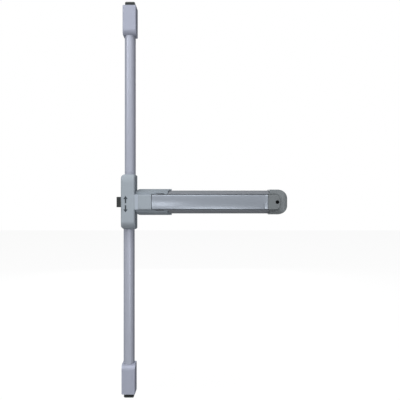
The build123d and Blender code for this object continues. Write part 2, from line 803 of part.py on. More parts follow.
    # Screw that holds the latch cover to the guide block's end
    with BuildPart() as cover_screw:
        screw_plane = Plane.XY.offset(box_end)
        with BuildSketch(screw_plane):
            with Locations((box_x, -screw_height)):
                RegularPolygon(box_cover_screw_head, hexagon_sides)
        extrude(amount=box_cover_screw_head_height)
        with BuildSketch(screw_plane):
            with Locations((box_x, -screw_height)):
                Circle(box_cover_screw_radius)
        extrude(amount=-box_cover_screw_length)
    finish(cover_screw, f"{side}_cover_screw", place)

    # Bolt: square steel bolt, chamfered at its tip, bored for the rod
    with BuildPart() as bolt:
        with BuildSketch(Plane.XY.offset(bolt_start)):
            with Locations((box_x, -rod_height)):
                Rectangle(bolt_width, bolt_thickness)
        extrude(amount=box_end + bolt_protrusion - bolt_start)
        tip_edges = bolt.faces().sort_by(Axis.Z)[-1].edges()
        chamfer(tip_edges, bolt_chamfer)
        with BuildSketch(Plane.XY.offset(bolt_start)):
            with Locations((rod_x, -rod_height)):
                Circle(rod_radius + running_gap)
        extrude(amount=bolt_rod_depth + slide_gap, mode=Mode.SUBTRACT)
    finish(bolt, f"{side}_bolt", place)

    # Lock nut that holds the rod's thread in the bolt
    with BuildPart() as lock_nut:
        with BuildSketch(Plane.XY.offset(bolt_start - lock_nut_length)):
            with Locations((rod_x, -rod_height)):
                RegularPolygon(lock_nut_radius, hexagon_sides)
                Circle(rod_radius + running_gap, mode=Mode.SUBTRACT)
        extrude(amount=lock_nut_length)
    finish(lock_nut, f"{side}_lock_nut", place)

# Rail: aluminium extrusion, a trough with leaning flanks
with BuildPart() as rail:
    with BuildSketch(Plane.YZ.offset(rail_start)):
        rail_outline()
        with BuildSketch(mode=Mode.PRIVATE) as trough:
            rail_outline()
            offset(amount=-rail_wall, kind=Kind.INTERSECTION)
        add(trough.sketch, mode=Mode.SUBTRACT)
        with Locations((-rail_depth, 0)):
            Rectangle(3 * rail_wall, 2 * rail_mouth_half, mode=Mode.SUBTRACT)
    extrude(amount=rail_length)
finish(rail, "rail")

# Collar: a cast saddle over the rail's end beside the head case
with BuildPart() as rail_collar:
    collar_start = case_half_width + collar_gap_to_case
    bridge_end = nose_end - nose_wall
    with BuildSketch(Plane.YZ.offset(collar_start)):
        rail_outline()
        offset(amount=seat_gap + collar_wall, kind=Kind.INTERSECTION)
        with BuildSketch(mode=Mode.PRIVATE) as bed:
            rail_outline()
            offset(amount=seat_gap, kind=Kind.INTERSECTION)
        add(bed.sketch, mode=Mode.SUBTRACT)
        with Locations((rail_depth / 2, 0)):
            Rectangle(rail_depth, 4 * rail_half_base, mode=Mode.SUBTRACT)
    extrude(amount=collar_back_end - collar_start)
    with BuildSketch(Plane.XZ):
        with Locations(((bridge_end + collar_back_end) / 2, 0)):
            Rectangle(collar_back_end - bridge_end, 2 * rail_mouth_half)
    extrude(amount=2 * rail_depth, mode=Mode.SUBTRACT)
    with BuildSketch(Plane.XZ):
        with Locations(((collar_start + collar_back_end) / 2, 0)):
            Rectangle(collar_back_end - collar_start, 2 * (rail_half_base + seat_gap + collar_wall))
        fillet(vertices().group_by(Axis.X)[0], collar_corner)
    extrude(amount=2 * rail_depth, mode=Mode.INTERSECT)
    with BuildSketch(Plane.XY):
        with BuildLine():
            Polyline(
                (collar_front_end, -2 * rail_depth),
                (collar_front_end, -collar_front),
                (collar_back_end - collar_tab_rise, -rail_shoulder),
                (collar_back_end + collar_wall, -rail_shoulder),
                (collar_back_end + collar_wall, -2 * rail_depth),
                close=True,
            )
        make_face()
    extrude(amount=2 * rail_half_base, both=True, mode=Mode.SUBTRACT)
    with BuildSketch(Plane.XZ.offset(rail_depth + seat_gap)):
        with Locations((collar_notch_start + collar_notch_length / 2, 0)):
            Rectangle(collar_notch_length, 2 * (rail_mouth_half + collar_notch_depth))
    extrude(amount=2 * collar_wall, mode=Mode.SUBTRACT)
finish(rail_collar, "rail_collar")

# Push pad: extruded channel with a slightly crowned front
with BuildPart() as push_pad:
    with BuildSketch(Plane.YZ.offset(pad_start)):
        edge_depth = pad_depth - pad_crown
        with BuildLine():
            Polyline(
                (-edge_depth, -pad_half_width),
                (-edge_depth + pad_skirt, -pad_half_width),
                (-edge_depth + pad_skirt, pad_half_width),
                (-edge_depth, pad_half_width),
            )
            ThreePointArc((-edge_depth, pad_half_width), (-pad_depth, 0), (-edge_depth, -pad_half_width))
        make_face()
        fillet(vertices().group_by(Axis.X)[0], pad_edge_round)
        with Locations((-pad_inner_front + pad_skirt, 0)):
            Rectangle(2 * pad_skirt, 2 * (pad_half_width - pad_wall), mode=Mode.SUBTRACT)
    extrude(amount=pad_end - pad_start)
finish(push_pad, "push_pad")

# Plugs that close the pad's ends
with BuildPart() as pad_end_plugs:
    for plug_start in (pad_start, pad_end - pad_plug_thickness):
        with BuildSketch(Plane.YZ.offset(plug_start)):
            plug_back = bar_high + pad_travel + layer_gap
            with Locations((-(pad_inner_front + plug_back) / 2, 0)):
                Rectangle(pad_inner_front - plug_back, 2 * (pad_half_width - pad_wall))
        extrude(amount=pad_plug_thickness)
finish(pad_end_plugs, "pad_end_plugs")

# Under the pad, at both rockers
lug_front = pad_inner_front
lug_back = pad_pin_height - pad_pin_radius - slot_gap - pin_eye_wall
lug_outer = pad_arm_half + slide_gap + lug_ear_thickness

for side, rocker_x in (("left", left_rocker_x), ("right", right_rocker_x)):
    rocker_plane = Plane(
        origin=(rocker_x, -pivot_height, 0),
        x_dir=(math.cos(rocker_swing), math.sin(rocker_swing), 0),
        z_dir=(0, 0, 1),
    )

    # Rocker: cast bell crank, one arm under the pad and one on the pull bar
    with BuildPart() as rocker:
        for eye, eye_radius, face in (
            ((-pad_arm, 0), pad_pin_radius + pin_eye_wall, pad_arm_half),
            ((0, link_arm), link_pin_radius + pin_eye_wall, rocker_face),
        ):
            with BuildSketch(rocker_plane.offset(-pad_arm_half)):
                RegularPolygon(hub_radius, rocker_sides)
                with Locations(eye):
                    RegularPolygon(eye_radius, rocker_sides)
                make_hull()
            extrude(amount=pad_arm_half + face)
        with BuildSketch(rocker_plane.offset(-pad_arm_half)):
            Circle(pivot_radius + running_gap)
            with Locations((-pad_arm, 0)):
                Circle(pad_pin_radius + running_gap)
            with Locations((0, link_arm)):
                Circle(link_pin_radius + running_gap)
        extrude(amount=pad_arm_half + rocker_face, mode=Mode.SUBTRACT)
    finish(rocker, f"{side}_rocker")

    # The rocker's two drive pins, one in the pad's lug and one in the pull bar
    with BuildPart() as rocker_pins:
        with BuildSketch(rocker_plane.offset(-lug_outer)):
            with Locations((-pad_arm, 0)):
                Circle(pad_pin_radius)
        extrude(amount=2 * lug_outer)
        with BuildSketch(rocker_plane.offset(-pad_arm_half)):
            with Locations((0, link_arm)):
                Circle(link_pin_radius)
        extrude(amount=pad_arm_half + bar_edge + slide_gap)
    finish(rocker_pins, f"{side}_rocker_pins")

    # Pivot pin through the bracket's ears
    with BuildPart() as pivot_pin:
        with BuildSketch(rocker_plane.offset(-bracket_half_width)):
            Circle(pivot_radius)
        extrude(amount=2 * bracket_half_width)
    finish(pivot_pin, f"{side}_pivot_pin")

    # Bracket: folded steel, its two ears carrying the rocker above the rail's floor
    with BuildPart() as bracket:
        with BuildSketch(Plane.XZ.offset(rail_wall)):
            with Locations((rocker_x, 0)):
                Rectangle(2 * bracket_half_length, 2 * bracket_half_width)
        extrude(amount=bracket_plate)
        for ear_start in (-bracket_half_width, ear_inner):
            with BuildSketch(Plane.XY.offset(ear_start)):
                Polygon(
                    (rocker_x - bracket_ear_half_length, -rail_wall),
                    (rocker_x + bracket_ear_half_length, -rail_wall),
                    (rocker_x + hub_radius, -pivot_height - hub_radius),
                    (rocker_x - hub_radius, -pivot_height - hub_radius),
                    align=None,
                )
                with Locations((rocker_x, -pivot_height)):
                    Circle(pivot_radius + running_gap, mode=Mode.SUBTRACT)
            extrude(amount=ear_thickness)
    finish(bracket, f"{side}_bracket")

    # Lug under the pad's front, slotted so that the rocker's pin can wander along the bar
    with BuildPart() as pad_lug:
        lug_middle = rocker_x - pad_pin_back
        with BuildSketch(Plane.YZ.offset(lug_middle - lug_half_length)):
            with Locations((-(lug_front + lug_back) / 2, 0)):
                Rectangle(lug_front - lug_back, 2 * lug_outer)
            with Locations((-(lug_front - lug_bridge + lug_back) / 2, 0)):
                lug_opening = (lug_front - lug_bridge - lug_back, 2 * (pad_arm_half + slide_gap))
                Rectangle(*lug_opening, mode=Mode.SUBTRACT)
        extrude(amount=2 * lug_half_length)
        with BuildSketch(Plane.XY.offset(-lug_outer)):
            with Locations((lug_middle, -pad_pin_height)):
                slot = 2 * (pad_pin_radius + slot_gap)
                Rectangle(pad_pin_drift + slot, slot)
        extrude(amount=2 * lug_outer, mode=Mode.SUBTRACT)
    finish(pad_lug, f"{side}_pad_lug")

# Pad stops: nylon posts that end the pad's travel and hold its springs upright
stop_places = [(left_rocker_x + stop_from_rocker, 0), (right_rocker_x - stop_from_rocker, 0)]
with BuildPart() as pad_stops:
    with BuildSketch(Plane.XZ.offset(rail_wall)):
        with Locations(*stop_places):
            RegularPolygon(stop_radius, hexagon_sides)
    extrude(amount=stop_top - rail_wall)
finish(pad_stops, "pad_stops")

# Pad springs, round the stops from the rail's floor to the inside of the pad's front
with BuildPart() as pad_springs:
    pad_spring_start = rail_wall
    pad_spring_length = pad_inner_front - pad_spring_start
    spring = closed_spring(pad_spring_wire, pad_spring_radius, pad_spring_length)
    for stop_x, stop_z in stop_places:
        add(spring.moved(Location((stop_x, -pad_spring_start, stop_z), (90, 0, 0))))
finish(pad_springs, "pad_springs")

# End bracket: joggled plate on the door with a tapped post for the cap's screw
with BuildPart() as end_bracket:
    joggle = rail_end + seat_gap
    plate_left = joggle + tongue_step
    plate_right = cap_end - end_plate_margin - cap_wall
    with BuildSketch(Plane.XZ):
        with Locations(((plate_left + plate_right) / 2, 0)):
            Rectangle(plate_right - plate_left, 2 * (cap_half_width - end_plate_margin - cap_wall))
        chamfer(vertices().group_by(Axis.X)[-1], end_plate_corner_cut)
        with Locations((cap_end - end_screw_from_end - cap_wall, 0)):
            with GridLocations(1, 2 * end_screw_half_spacing, 1, 2):
                Circle(end_screw_radius, mode=Mode.SUBTRACT)
    extrude(amount=base_thickness)
    with BuildSketch(Plane.XY):
        Polygon(
            (plate_left + tongue_step, 0),
            (plate_left, 0),
            (joggle, -tongue_low),
            (rail_end - end_tongue_reach, -tongue_low),
            (rail_end - end_tongue_reach, -tongue_high),
            (joggle + seat_gap, -tongue_high),
            (plate_left + seat_gap, -base_thickness),
            (plate_left + tongue_step, -base_thickness),
            align=None,
        )
    extrude(amount=tongue_half_width, both=True)
    with BuildSketch(Plane.XZ):
        with Locations((cap_screw_x, 0)):
            RegularPolygon(cap_screw_radius + post_wall, hexagon_sides, major_radius=False)
    extrude(amount=cap_screw_seat - seat_gap)
    with BuildSketch(Plane.XZ.offset(base_thickness)):
        with Locations((cap_screw_x, 0)):
            Circle(cap_screw_radius + running_gap)
    extrude(amount=cap_screw_seat, mode=Mode.SUBTRACT)
finish(end_bracket, "end_bracket")

# End cap: moulded shell over the rail's end, its raised middle falling away from the pad
cap_shape = (
    (2 * cap_length, 2 * cap_half_width, cap_shoulder),
    (cap_corner, cap_corner),
    (cap_edge_round, cap_edge_round),
    cap_edge_round,
)
cap_place = Location((cap_start, 0, 0))


def plateau_outline(grow):
    """The raised middle's outline: straight at the pad, rounded at the far side."""
    with Locations((plateau_start + plateau_length / 2, 0)):
        Rectangle(plateau_length + 2 * grow, 2 * (pad_half_width + grow))
    fillet(vertices().group_by(Axis.X)[-1], plateau_corner + grow)


def plateau(inset, edge_round):
    """The cap's raised middle: a D-shaped block whose front slopes away from the pad."""
    right = plateau_start + plateau_length
    with BuildPart() as form:
        with BuildSketch(Plane.XZ.offset(rail_shoulder)):
            plateau_outline(-inset)
        extrude(amount=plateau_front - rail_shoulder)
        with BuildSketch(Plane.XY):
            Polygon(
                (plateau_start, -2 * plateau_front),
                (plateau_start, -plateau_front + inset),
                (right, -plateau_front + inset + plateau_fall),
                (right, -2 * plateau_front),
                align=None,
            )
        extrude(amount=cap_half_width, both=True, mode=Mode.SUBTRACT)
        if edge_round:
            rim = form.faces().sort_by(Axis.Y)[0].edges()
            rim = rim.filter_by(lambda edge: edge.center().X > plateau_start + edge_round)
            fillet(rim, edge_round)
    return form.part


with BuildPart() as cap_outside:
    add(housing(*cap_shape).moved(cap_place))
    with BuildSketch(Plane.YZ.offset(cap_start)):
        Rectangle(2 * plateau_front, 2 * cap_half_width)
    extrude(amount=cap_length, mode=Mode.INTERSECT)
    with BuildSketch(Plane.XZ.offset(cap_shoulder - rim_groove_depth)):
        plateau_outline(rim_groove_width)
    extrude(amount=cap_wall, mode=Mode.SUBTRACT)
    add(plateau(0, plateau_edge_round))

with BuildPart() as cap_boss:
    with BuildSketch(Plane.XZ.offset(cap_screw_seat)):
        with Locations((cap_screw_x, 0)):
            Circle(cap_hole_radius + cap_boss_wall)
    extrude(amount=plateau_front)
    add(cap_outside.part, mode=Mode.INTERSECT)

with BuildPart() as end_cap:
    add(cap_outside.part)
    with BuildPart(mode=Mode.PRIVATE) as hollow:
        add(housing(*cap_shape, inset=cap_wall).moved(cap_place))
        with BuildSketch(Plane.YZ.offset(cap_start + cap_wall)):
            Rectangle(2 * plateau_front, 2 * cap_half_width)
        extrude(amount=cap_length, mode=Mode.INTERSECT)
        add(plateau(cap_wall, 0))
    add(hollow.part, mode=Mode.SUBTRACT)
    with BuildSketch(Plane.YZ.offset(plateau_start)):
        rail_outline()
        offset(amount=seat_gap, kind=Kind.INTERSECTION)
    extrude(amount=plateau_lead + cap_overlap + seat_gap, mode=Mode.SUBTRACT)
    add(cap_boss.part)
    with BuildSketch(Plane.XZ.offset(cap_screw_seat + cap_seat_thickness)):
        with Locations((cap_screw_x, 0)):
            Circle(cap_hole_radius)
    extrude(amount=plateau_front, mode=Mode.SUBTRACT)
    with BuildSketch(Plane.XZ.offset(cap_screw_seat)):
        with Locations((cap_screw_x, 0)):
            Circle(cap_screw_radius + running_gap)
    extrude(amount=cap_seat_thickness, mode=Mode.SUBTRACT)
finish(end_cap, "end_cap")

# Screw that holds the end cap to the far bracket's post
with BuildPart() as end_cap_screw:
    head_plane = Plane.XZ.offset(cap_screw_seat + cap_seat_thickness)
    with BuildSketch(head_plane):
        with Locations((cap_screw_x, 0)):
            RegularPolygon(cap_screw_head_radius, hexagon_sides)
    extrude(amount=cap_screw_head_height)
    with BuildSketch(head_plane):
        with Locations((cap_screw_x, 0)):
            Circle(cap_screw_radius)
    extrude(amount=-cap_seat_thickness - cap_screw_grip)
finish(end_cap_screw, "end_cap_screw")
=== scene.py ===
import bpy
import bmesh
import json
import math
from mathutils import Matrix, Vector


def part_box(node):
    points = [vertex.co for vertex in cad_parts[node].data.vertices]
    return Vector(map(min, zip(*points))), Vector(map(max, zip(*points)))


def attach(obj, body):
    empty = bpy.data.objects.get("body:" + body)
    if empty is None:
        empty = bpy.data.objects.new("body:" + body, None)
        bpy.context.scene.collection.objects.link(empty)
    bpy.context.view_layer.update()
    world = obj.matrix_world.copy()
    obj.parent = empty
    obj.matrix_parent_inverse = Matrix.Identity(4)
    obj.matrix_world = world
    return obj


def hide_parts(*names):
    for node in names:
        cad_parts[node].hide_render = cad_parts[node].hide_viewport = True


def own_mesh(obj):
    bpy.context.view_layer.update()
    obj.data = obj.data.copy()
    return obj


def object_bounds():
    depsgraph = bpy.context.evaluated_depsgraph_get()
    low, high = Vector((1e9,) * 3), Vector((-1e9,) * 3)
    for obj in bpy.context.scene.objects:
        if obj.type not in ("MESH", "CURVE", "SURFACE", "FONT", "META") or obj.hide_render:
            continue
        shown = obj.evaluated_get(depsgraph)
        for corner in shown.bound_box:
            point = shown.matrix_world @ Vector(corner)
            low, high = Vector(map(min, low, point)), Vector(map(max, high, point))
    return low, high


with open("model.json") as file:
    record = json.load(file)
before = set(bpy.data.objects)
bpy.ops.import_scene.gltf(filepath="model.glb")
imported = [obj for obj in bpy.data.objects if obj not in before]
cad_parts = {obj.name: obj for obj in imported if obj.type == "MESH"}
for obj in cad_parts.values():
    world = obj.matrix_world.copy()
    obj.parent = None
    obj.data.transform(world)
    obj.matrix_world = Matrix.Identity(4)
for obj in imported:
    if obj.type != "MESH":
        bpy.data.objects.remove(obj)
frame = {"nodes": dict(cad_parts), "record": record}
cad_low, cad_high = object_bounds()
nodes = frame["nodes"]

# The camera stands straight in front of the door, level with the push bar and a little to the
# right of the rods, and takes in the whole lock.
camera_data = bpy.data.cameras.new("front_camera")
camera_data.sensor_width = 36
camera_data.lens = 43.82
camera_data.clip_start = 0.01
camera = bpy.data.objects.new("front_camera", camera_data)
camera.location = (0.1854, -1.3, 0.0053)
camera.rotation_euler = (math.radians(90), 0, 0)
bpy.context.collection.objects.link(camera)
bpy.context.scene.camera = camera
bpy.context.scene.view_settings.view_transform = "Standard"


# The room is white where the camera or a shiny surface looks at it, and lights the lock only
# weakly from all round.
def seen_directly(tree):
    """1 for a ray that comes straight from the camera, a glossy surface or a clear one."""
    path = tree.nodes.new("ShaderNodeLightPath")
    seen = path.outputs["Is Camera Ray"]
    for kind in ("Is Glossy Ray", "Is Transmission Ray"):
        either = tree.nodes.new("ShaderNodeMath")
        either.operation = "MAXIMUM"
        tree.links.new(seen, either.inputs[0])
        tree.links.new(path.outputs[kind], either.inputs[1])
        seen = either.outputs[0]
    return seen


studio = bpy.data.worlds.new("studio")
studio.use_nodes = True
bpy.context.scene.world = studio
sky = studio.node_tree
sky.nodes.clear()
dim_sky = sky.nodes.new("ShaderNodeBackground")
dim_sky.inputs["Color"].default_value = (0.92, 0.96, 1.0, 1)
dim_sky.inputs["Strength"].default_value = 0.08
white_sky = sky.nodes.new("ShaderNodeBackground")
white_sky.inputs["Color"].default_value = (1, 1, 1, 1)
white_sky.inputs["Strength"].default_value = 1.0
sky_choice = sky.nodes.new("ShaderNodeMixShader")
sky_end = sky.nodes.new("ShaderNodeOutputWorld")
sky.links.new(seen_directly(sky), sky_choice.inputs["Fac"])
sky.links.new(dim_sky.outputs[0], sky_choice.inputs[1])
sky.links.new(white_sky.outputs[0], sky_choice.inputs[2])
sky.links.new(sky_choice.outputs[0], sky_end.inputs["Surface"])

# The floor is a wide white sheet below the lock. It shines white to the camera and still takes
# the lock's soft shadow.
floor_half = 8.0
floor_gap = 0.06  # below the lower bolt's tip
floor_z = cad_low.z - floor_gap
sheet_grey = 0.1
bounce_grey = 0.36
floor_mesh = bpy.data.meshes.new("studio_floor")
floor_mesh.from_pydata(
    [
        (-floor_half, -floor_half, floor_z),
        (floor_half, -floor_half, floor_z),
        (floor_half, floor_half, floor_z),
        (-floor_half, floor_half, floor_z),
    ],
    [],
    [(0, 1, 2, 3)],
)
floor = bpy.data.objects.new("studio_floor", floor_mesh)
bpy.context.collection.objects.link(floor)
floor_look = bpy.data.materials.new("white_floor")
floor_look.use_nodes = True
tree = floor_look.node_tree
tree.nodes.clear()
sheet = tree.nodes.new("ShaderNodeBsdfDiffuse")
sheet.inputs["Color"].default_value = (sheet_grey, sheet_grey, sheet_grey, 1)
bounce = tree.nodes.new("ShaderNodeBsdfDiffuse")
bounce.inputs["Color"].default_value = (bounce_grey, bounce_grey, bounce_grey, 1)
glow = tree.nodes.new("ShaderNodeEmission")
glow.inputs["Color"].default_value = (1, 1, 1, 1)
glow.inputs["Strength"].default_value = 0.94
both = tree.nodes.new("ShaderNodeAddShader")
choice = tree.nodes.new("ShaderNodeMixShader")
end = tree.nodes.new("ShaderNodeOutputMaterial")
tree.links.new(sheet.outputs[0], both.inputs[0])
tree.links.new(glow.outputs[0], both.inputs[1])
tree.links.new(seen_directly(tree), choice.inputs["Fac"])
tree.links.new(bounce.outputs[0], choice.inputs[1])
tree.links.new(both.outputs[0], choice.inputs[2])
tree.links.new(choice.outputs[0], end.inputs["Surface"])
floor_mesh.materials.append(floor_look)

# Soft studio lamps: a big one near by on the upper left, two broad ones high in front, a narrow
# one beside the camera for the streak along the pad, weak ones that lift the sides and the lower
# half, and one behind the door line for the mounting faces.
lock_middle = (0.12, 0, 0)
for name, place, aim, size, watts in (
    ("main_lamp", (-1.0, -1.541, 1.1), lock_middle, 1.2, 18),
    ("top_lamp", (0.12, -4.0, 6.93), lock_middle, 3.0, 310),
    ("high_front_lamp", (0.12, -4.53, 2.11), lock_middle, 2.0, 24),
    ("streak_lamp", (-0.09, -2.25, -0.17), (0.1, 0, 0), 0.15, 2.4),
    ("lower_front_lamp", (0.35, -1.5, -0.6), (0.05, 0, -0.25), 0.5, 6.5),
    ("left_lamp", (-1.42, -0.413, 0.139), lock_middle, 0.8, 0.5),
    ("right_lamp", (1.42, -1.855, 0.4), lock_middle, 1.0, 1.7),
    ("back_lamp", (0.0, 2.6, 0.6), lock_middle, 1.5, 24),
):
    lamp_data = bpy.data.lights.new(name, "AREA")
    lamp_data.shape = "SQUARE"
    lamp_data.size = size
    lamp_data.energy = watts
    lamp = bpy.data.objects.new(name, lamp_data)
    lamp.location = place
    lamp.rotation_euler = (Vector(aim) - Vector(place)).to_track_quat("-Z", "Y").to_euler()
    bpy.context.collection.objects.link(lamp)

# Head case cover: a zinc die casting under satin silver paint, with the fairing that rises to
# the push pad. Its sharp edges are eased as the casting tool leaves them, and the eased edges get
# a lighter worn paint that is also a painted highlight. The slope of the fairing gets a lighter
# paint, which is a painted highlight.
body_of_node = {}
for body, members in frame["record"]["behaviour"]["bodies"].items():
    for member in members:
        body_of_node[member] = body


def smoothed(mesh, sharp=32):
    """Smooths a mesh's curves and keeps its corners of more than this many degrees sharp."""
    for face in mesh.polygons:
        face.use_smooth = True
    mesh.set_sharp_from_angle(angle=math.radians(sharp))


def finished(piece, node):
    """Gives the piece its node's place in the lock and hides the node."""
    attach(piece, body_of_node[node])
    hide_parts(node)


def plain_copy(piece):
    """The piece's mesh with its modifiers applied; they are removed from the piece."""
    scene_state = bpy.context.evaluated_depsgraph_get()
    shaped = bpy.data.meshes.new_from_object(piece.evaluated_get(scene_state))
    piece.modifiers.clear()
    return shaped


def eased_casting(node, edge, look, wear_and_sheen_look=None, steps=3, shape=None):
    """Puts a copy with rounded edges in the node's place; its edges may have a worn finish, which
    on the paint and plastic pieces is also lighter as a painted highlight.
    """
    weld = 2e-6
    flat = math.radians(1.0)
    sharp_corner = math.radians(35)
    form = bmesh.new()
    form.from_mesh(nodes[node].data)
    bmesh.ops.remove_doubles(form, verts=form.verts, dist=weld)
    bmesh.ops.dissolve_limit(form, angle_limit=flat, verts=form.verts, edges=form.edges)
    if shape:
        shape(form)
    mesh = bpy.data.meshes.new(node + "_eased")
    form.to_mesh(mesh)
    form.free()
    mesh.materials.clear()
    mesh.materials.append(look)
    piece = bpy.data.objects.new(node + "_finish", mesh)
    bpy.context.collection.objects.link(piece)
    ease = piece.modifiers.new("ease", "BEVEL")
    ease.limit_method = "ANGLE"
    ease.angle_limit = sharp_corner
    ease.width = edge
    ease.segments = steps
    ease.use_clamp_overlap = True
    if wear_and_sheen_look:
        mesh.materials.append(wear_and_sheen_look)
        ease.material = 1
    piece.data = plain_copy(piece)
    smoothed(piece.data)
    even = piece.modifiers.new("even", "WEIGHTED_NORMAL")
    even.keep_sharp = True
    even.weight = 100
    piece.data = plain_copy(piece)
    finished(piece, node)


def coated(
    name,
    colour,
    metallic,
    roughness,
    edge_tint=0.3,
    specular=0.0,
    mottle=0.04,
    flake=0.0,
    grain=0.06,
    grain_size=900.0,
    wave=0.0,
    stretch=(1, 1, 1),
    highlight_colour=None,
):
    """A finish with faint clouds, metal flake, a fine surface grain and slightly uneven gloss.

    Sizes count features to a metre. Where the last argument is given, it is a lighter colour laid
    on where the piece's highlight attribute is 1: a painted highlight.
    """
    cloud_size = 28.0
    flake_size = 2500.0
    wave_size = 160.0
    grain_depth = 0.0003
    wave_depth = 0.0006
    gloss_spread = 0.05
    look = bpy.data.materials.new(name)
    look.use_nodes = True
    tree = look.node_tree
    shader = tree.nodes["Principled BSDF"]
    shader.inputs["Metallic"].default_value = metallic
    shader.inputs["Specular IOR Level"].default_value = specular
    shader.inputs["Specular Tint"].default_value = (edge_tint, edge_tint, edge_tint, 1)
    place = tree.nodes.new("ShaderNodeTexCoord")
    run = tree.nodes.new("ShaderNodeMapping")
    run.inputs["Scale"].default_value = stretch
    tree.links.new(place.outputs["Object"], run.inputs["Vector"])

    def noise(size, detail):
        """A cloud of this size, drawn out along the piece's own lines."""
        cloud = tree.nodes.new("ShaderNodeTexNoise")
        cloud.inputs["Scale"].default_value = size
        cloud.inputs["Detail"].default_value = detail
        tree.links.new(run.outputs["Vector"], cloud.inputs["Vector"])
        return cloud.outputs["Fac"]

    tint = tree.nodes.new("ShaderNodeMix")
    tint.data_type = "RGBA"
    tint.inputs["A"].default_value = (*[part * (1 - mottle) for part in colour], 1)
    tint.inputs["B"].default_value = (*[part * (1 + mottle) for part in colour], 1)
    tree.links.new(noise(cloud_size, detail=4.0), tint.inputs["Factor"])
    shade = tint.outputs["Result"]
    # A painted highlight: a lighter colour where the mesh's highlight attribute is 1.
    if highlight_colour:
        highlight_attribute = tree.nodes.new("ShaderNodeAttribute")
        highlight_attribute.attribute_name = "highlight_share"
        bright = tree.nodes.new("ShaderNodeMix")
        bright.data_type = "RGBA"
        bright.inputs["B"].default_value = (*highlight_colour, 1)
        tree.links.new(highlight_attribute.outputs["Fac"], bright.inputs["Factor"])
        tree.links.new(shade, bright.inputs["A"])
        shade = bright.outputs["Result"]
    speck = noise(grain_size, detail=2.0)
    if flake:
        glint = tree.nodes.new("ShaderNodeTexVoronoi")
        glint.inputs["Scale"].default_value = flake_size
        tree.links.new(run.outputs["Vector"], glint.inputs["Vector"])
        level = tree.nodes.new("ShaderNodeMapRange")
        level.inputs["To Min"].default_value = 1 - flake
        level.inputs["To Max"].default_value = 1 + flake
        tree.links.new(glint.outputs["Color"], level.inputs["Value"])
        sparkle = tree.nodes.new("ShaderNodeMix")
        sparkle.data_type = "RGBA"
        sparkle.blend_type = "MULTIPLY"
        sparkle.inputs["Factor"].default_value = 1.0
        tree.links.new(shade, sparkle.inputs["A"])
        tree.links.new(level.outputs["Result"], sparkle.inputs["B"])
        shade = sparkle.outputs["Result"]
    tree.links.new(shade, shader.inputs["Base Color"])
    gloss = tree.nodes.new("ShaderNodeMapRange")
    gloss.inputs["To Min"].default_value = roughness - gloss_spread
    gloss.inputs["To Max"].default_value = roughness + gloss_spread
    tree.links.new(speck, gloss.inputs["Value"])
    tree.links.new(gloss.outputs["Result"], shader.inputs["Roughness"])
    bump = tree.nodes.new("ShaderNodeBump")
    bump.inputs["Strength"].default_value = grain
    bump.inputs["Distance"].default_value = grain_depth
    tree.links.new(speck, bump.inputs["Height"])
    relief = bump.outputs["Normal"]
    if wave:
        peel = tree.nodes.new("ShaderNodeBump")
        peel.inputs["Strength"].default_value = wave
        peel.inputs["Distance"].default_value = wave_depth
        tree.links.new(noise(wave_size, detail=1.0), peel.inputs["Height"])
        tree.links.new(relief, peel.inputs["Normal"])
        relief = peel.outputs["Normal"]
    tree.links.new(relief, shader.inputs["Normal"])
    return look


silver_paint = coated(
    "satin_silver_paint",
    (0.33, 0.37, 0.41),
    metallic=0.12,
    roughness=0.42,
    flake=0.06,
    grain=0.05,
    wave=0.03,
    # lighter paint for the fairing's slope: a painted highlight
    highlight_colour=(0.49, 0.545, 0.62),
)
# Lighter, glossier paint for the eased edges: worn paint, and also a painted highlight along
# them.
wear_and_sheen_paint = coated(
    "wear_and_sheen_silver_paint",
    (0.36, 0.40, 0.44),
    metallic=0.2,
    roughness=0.36,
    mottle=0.12,
    flake=0.06,
    grain=0.05,
)
case_edge = 0.0012
case_half_length = 0.071
bow_start = 0.048  # from the case's middle
bow_drop = 0.004
bow_reach = 0.026  # how far out from the door the front's bow begins to be felt
bow_fade = 0.020  # and how much farther out it is felt in full
bow_cuts = 6
cut_snap = 1e-6
slope_foot = 0.0185
slope_brow = 0.0275
fairing_half = 0.0195
slope_depth = 0.044  # how far out from the door the painted highlight on the slope begins


def bowed_ends(form):
    """Bows the front back towards the case's two ends and marks the fairing's slope for a painted
    highlight.
    """
    for side in (-1, 1):
        for cut_line in range(bow_cuts):
            height = side * (bow_start + (case_half_length - bow_start) * cut_line / bow_cuts)
            whole_form = form.verts[:] + form.edges[:] + form.faces[:]
            bmesh.ops.bisect_plane(
                form, geom=whole_form, plane_co=(0, 0, height), plane_no=(0, 0, 1), dist=cut_snap
            )
    # Vertices on the fairing's slope get 1, and there the paint is lightened as a painted
    # highlight.
    highlight_layer = form.verts.layers.float.new("highlight_share")
    for corner in form.verts:
        on_slope = (
            slope_foot < corner.co.x < slope_brow
            and corner.co.y < -slope_depth
            and abs(corner.co.z) < fairing_half
        )
        corner[highlight_layer] = 1.0 if on_slope else 0.0
        past = (abs(corner.co.z) - bow_start) / (case_half_length - bow_start)
        share = min(1, max(0, (-corner.co.y - bow_reach) / bow_fade))
        if past > 0:
            corner.co.y += share * bow_drop * past ** 2


eased_casting("case_cover", case_edge, silver_paint, wear_and_sheen_paint, shape=bowed_ends)

